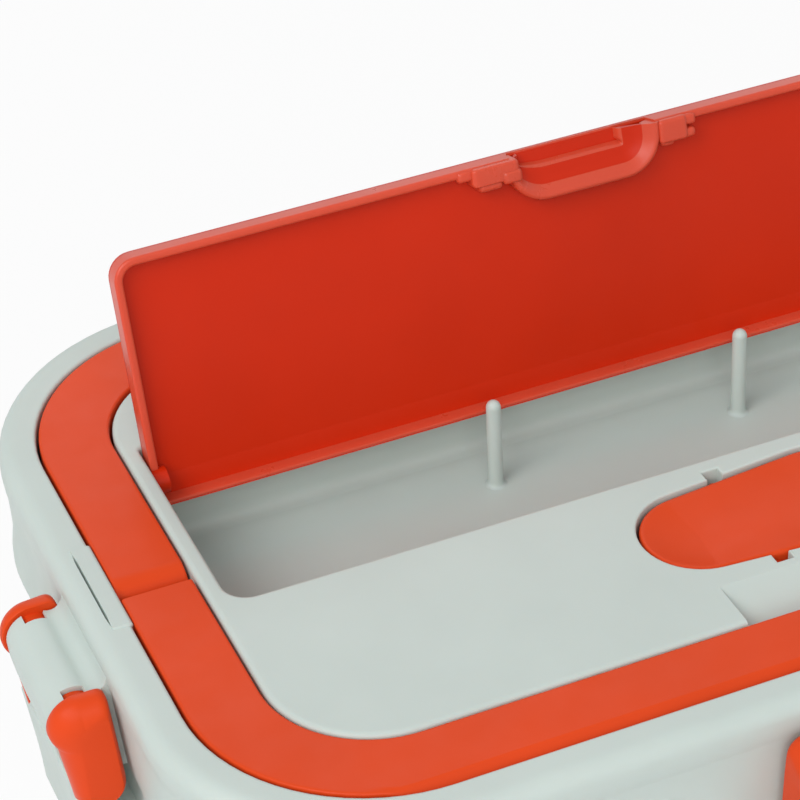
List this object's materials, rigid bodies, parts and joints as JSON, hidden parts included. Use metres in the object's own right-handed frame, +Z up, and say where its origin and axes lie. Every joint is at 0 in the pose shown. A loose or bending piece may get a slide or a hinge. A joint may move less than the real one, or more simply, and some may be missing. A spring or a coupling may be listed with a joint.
{
  "type": "electric lunch box",
  "caption": "Rounded rectangular electric lunch box with a lift-off lid, folding handles, side latches and a hinged cutlery cover.",
  "frame": {"origin": "middle of the bottom, on the surface that the feet stand on", "axes": "+X to the right along the long side, +Y to the rear, +Z up; the finger hollow is at the front"},
  "size_m": [0.2408, 0.1698, 0.1459],
  "materials": {
    "lid_plastic": "satin moulded plastic, pale grey-green",
    "liner_plastic": "smooth pale plastic",
    "accent_plastic": "satin moulded plastic, deep orange",
    "handle_plastic": "satin moulded plastic, orange",
    "body_plastic": null,
    "gasket_silicone": "matte silicone",
    "foot_rubber": "matte rubber",
    "lead_silicone": "silicone-sheathed lead",
    "pin_steel": "plain steel",
    "pin_brass": "plain brass",
    "tub_aluminium": "plain aluminium",
    "container_steel": "brushed stainless steel",
    "ptc_ceramic": "ceramic heater in insulating film",
    "black_plastic": "matte black plastic",
    "lens_plastic": "clear tinted plastic"
  },
  "bodies": {
    "base": {"base_shell": "body_plastic", "base_cover": "lid_plastic", "cover_screws": "pin_steel", "feet": "foot_rubber", "inner_tub": "tub_aluminium", "heating_plate": "tub_aluminium", "ptc_heater": "ptc_ceramic", "heater_clamp": "pin_steel", "clamp_screws": "pin_steel", "thermostat": "black_plastic", "thermal_fuse": "pin_steel", "heater_leads": "lead_silicone", "inlet_socket": "black_plastic", "socket_pins": "pin_brass", "indicator_lens": "lens_plastic", "indicator_led": "lens_plastic"},
    "lid": {"lid_shell": "lid_plastic", "latch_bosses": "lid_plastic", "lid_liner": "liner_plastic", "lid_gasket": "gasket_silicone", "latch_pins": "pin_steel"},
    "cutlery_cover": {"cutlery_cover": "accent_plastic"},
    "rear_handle": {"rear_handle": "handle_plastic"},
    "front_handle": {"front_handle": "handle_plastic"},
    "vent_lever": {"vent_lever": "handle_plastic", "vent_plug": "gasket_silicone"},
    "latch_right": {"latch_right": "handle_plastic"},
    "latch_rear": {"latch_rear": "handle_plastic"},
    "latch_left": {"latch_left": "handle_plastic"},
    "latch_front": {"latch_front": "handle_plastic"},
    "food_container": {"food_container": "container_steel"},
    "side_box": {"side_box": "liner_plastic"}
  },
  "joints": [
    {"name": "lid_lift", "type": "slide", "parent": "base", "child": "lid", "axis": [0, 0, 1], "range_m": [0, 0.18]},
    {"name": "cutlery_cover_hinge", "type": "hinge", "parent": "lid", "child": "cutlery_cover", "pos_m": [0, 0.028, 0.106], "axis": [-1, 0, 0], "range_deg": [-105, 0]},
    {"name": "rear_handle_hinge", "type": "hinge", "parent": "lid", "child": "rear_handle", "pos_m": [0, 0.0015, 0.10565], "axis": [1, 0, 0], "range_deg": [0, 90]},
    {"name": "front_handle_hinge", "type": "hinge", "parent": "lid", "child": "front_handle", "pos_m": [0, -0.009, 0.107], "axis": [-1, 0, 0], "range_deg": [0, 90]},
    {"name": "vent_lever_hinge", "type": "hinge", "parent": "lid", "child": "vent_lever", "pos_m": [-0.0015, -0.0293, 0.1066], "axis": [0, -1, 0], "range_deg": [0, 8]},
    {"name": "latch_right_hinge", "type": "hinge", "parent": "lid", "child": "latch_right", "pos_m": [0.115, -0.0055, 0.0996], "axis": [0, -1, 0], "range_deg": [-3, 100]},
    {"name": "latch_rear_hinge", "type": "hinge", "parent": "lid", "child": "latch_rear", "pos_m": [-0.003, 0.0795, 0.0996], "axis": [1, 0, 0], "range_deg": [-3, 100]},
    {"name": "latch_left_hinge", "type": "hinge", "parent": "lid", "child": "latch_left", "pos_m": [-0.115, -0.0055, 0.0996], "axis": [0, 1, 0], "range_deg": [-3, 100]},
    {"name": "latch_front_hinge", "type": "hinge", "parent": "lid", "child": "latch_front", "pos_m": [-0.003, -0.0795, 0.0996], "axis": [-1, 0, 0], "range_deg": [-3, 100]},
    {"name": "food_container_lift", "type": "slide", "parent": "base", "child": "food_container", "axis": [0, 0, 1], "range_m": [0, 0.081]},
    {"name": "side_box_lift", "type": "slide", "parent": "base", "child": "side_box", "axis": [0, 0, 1], "range_m": [0, 0.081]}
  ],
  "couplings": [
    {"joint": "rear_handle_hinge", "follows": "cutlery_cover_hinge", "ratio": -0.85714},
    {"joint": "food_container_lift", "follows": "lid_lift", "ratio": 0.45},
    {"joint": "side_box_lift", "follows": "lid_lift", "ratio": 0.45}
  ]
}
